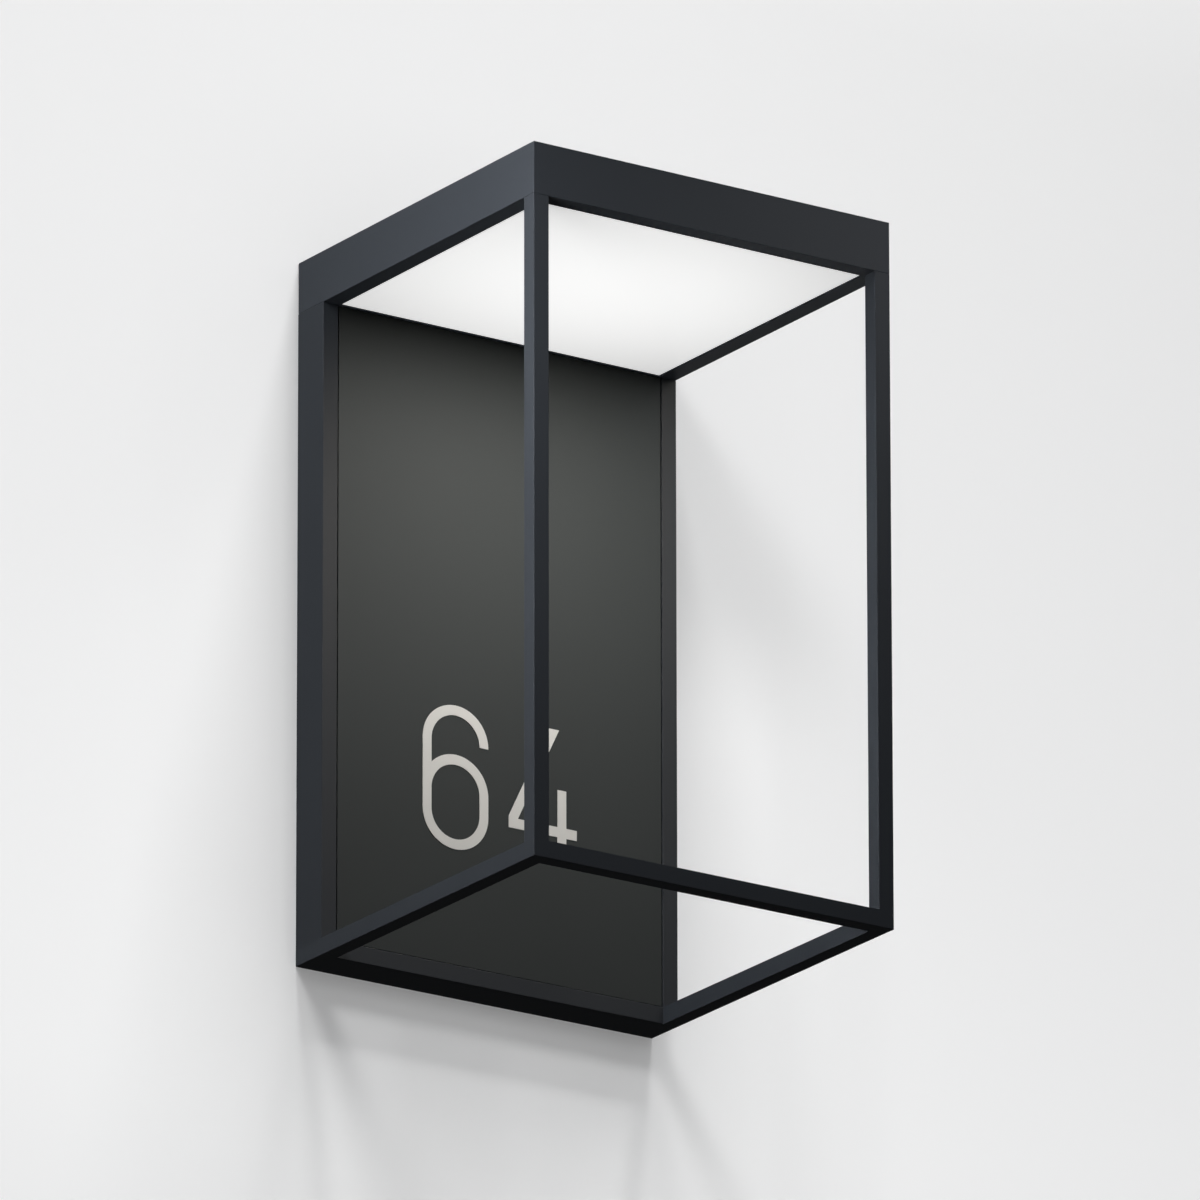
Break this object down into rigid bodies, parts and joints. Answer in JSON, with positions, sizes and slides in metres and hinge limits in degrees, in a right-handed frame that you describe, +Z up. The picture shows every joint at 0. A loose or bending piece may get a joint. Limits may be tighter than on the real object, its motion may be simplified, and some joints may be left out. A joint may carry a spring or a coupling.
{
  "type": "illuminated house number sign",
  "caption": "Wall lantern with a square open frame and a light head that shines down on a removable panel with house numerals.",
  "frame": {"origin": "centre of the four wall-screw slots, on the wall plane", "axes": "+Y into the wall, +Z up, +X to the right as seen from the street; the lantern stands out towards -Y"},
  "size_m": [0.25, 0.25, 0.435],
  "materials": {
    "frame_coat": "fine textured powder coat, anthracite",
    "panel_coat": "matt powder coat, dark neutral grey",
    "numeral_film": "matt",
    "opal_plastic": "satin opal",
    "seal_rubber": "matt",
    "seal_foam": "closed cells",
    "screw_steel": "stainless",
    "bracket_steel": "zinc plated",
    "bare_aluminium": "mill",
    "white_aluminium": "white coat",
    "white_board": "solder mask",
    "led_phosphor": "satin",
    "copper_link": "bare copper",
    "white_plastic": "moulded",
    "black_plastic": "moulded",
    "magnet_nickel": "nickel plated",
    "green_board": "solder mask",
    "transformer_wrap": "tape",
    "brass": "satin",
    "brown_lead": "satin",
    "blue_lead": "satin",
    "earth_sleeve": "satin",
    "black_lead": "satin"
  },
  "bodies": {
    "mounting": {"wall_bracket": "bracket_steel", "lock_standoff": "screw_steel", "lock_screw": "screw_steel"},
    "lantern": {"back_plate": "bare_aluminium", "back_plate_screws": "screw_steel", "back_stile_left": "frame_coat", "back_stile_right": "frame_coat", "board_link_wires": "copper_link", "board_screws": "screw_steel", "bottom_rail_back": "frame_coat", "bottom_rail_front": "frame_coat", "bottom_rail_left": "frame_coat", "bottom_rail_right": "frame_coat", "cable_grommet": "seal_rubber", "corner_dowels": "screw_steel", "cover_gasket": "seal_rubber", "cover_screws": "screw_steel", "diffuser": "opal_plastic", "diffuser_gasket": "seal_rubber", "driver_board": "green_board", "driver_capacitors": "black_plastic", "driver_case": "white_plastic", "driver_lid": "white_plastic", "driver_screws": "screw_steel", "driver_transformer": "transformer_wrap", "earth_lead": "earth_sleeve", "earth_lug": "brass", "earth_screw": "screw_steel", "earth_standoff": "brass", "front_post_left": "frame_coat", "front_post_right": "frame_coat", "head_cover": "frame_coat", "head_frame": "frame_coat", "lead_clips": "white_plastic", "lead_grommet": "seal_rubber", "led_boards": "white_board", "led_chips": "led_phosphor", "led_connector": "white_plastic", "led_lead": "black_lead", "led_plate": "bare_aluminium", "led_plate_screws": "screw_steel", "live_lead": "brown_lead", "magnet_block_screws": "screw_steel", "magnet_blocks": "black_plastic", "neutral_lead": "blue_lead", "panel_magnets": "magnet_nickel", "post_screws": "screw_steel", "reflector_frame": "white_aluminium", "stile_screws": "screw_steel", "terminal_block": "white_plastic", "terminal_clamps": "brass", "terminal_mount_screws": "screw_steel", "terminal_wire_screws": "screw_steel", "wall_gasket": "seal_foam"},
    "panel": {"number_panel": "panel_coat", "numeral_six": "numeral_film", "numeral_four": "numeral_film", "panel_keepers": "screw_steel"}
  },
  "joints": [
    {"name": "lantern_lift", "type": "slide", "parent": "mounting", "child": "lantern", "axis": [0, 0, 1], "range_m": [0, 0.0115]},
    {"name": "panel_pull", "type": "slide", "parent": "lantern", "child": "panel", "axis": [0, -1, 0], "range_m": [0, 0.24]}
  ]
}
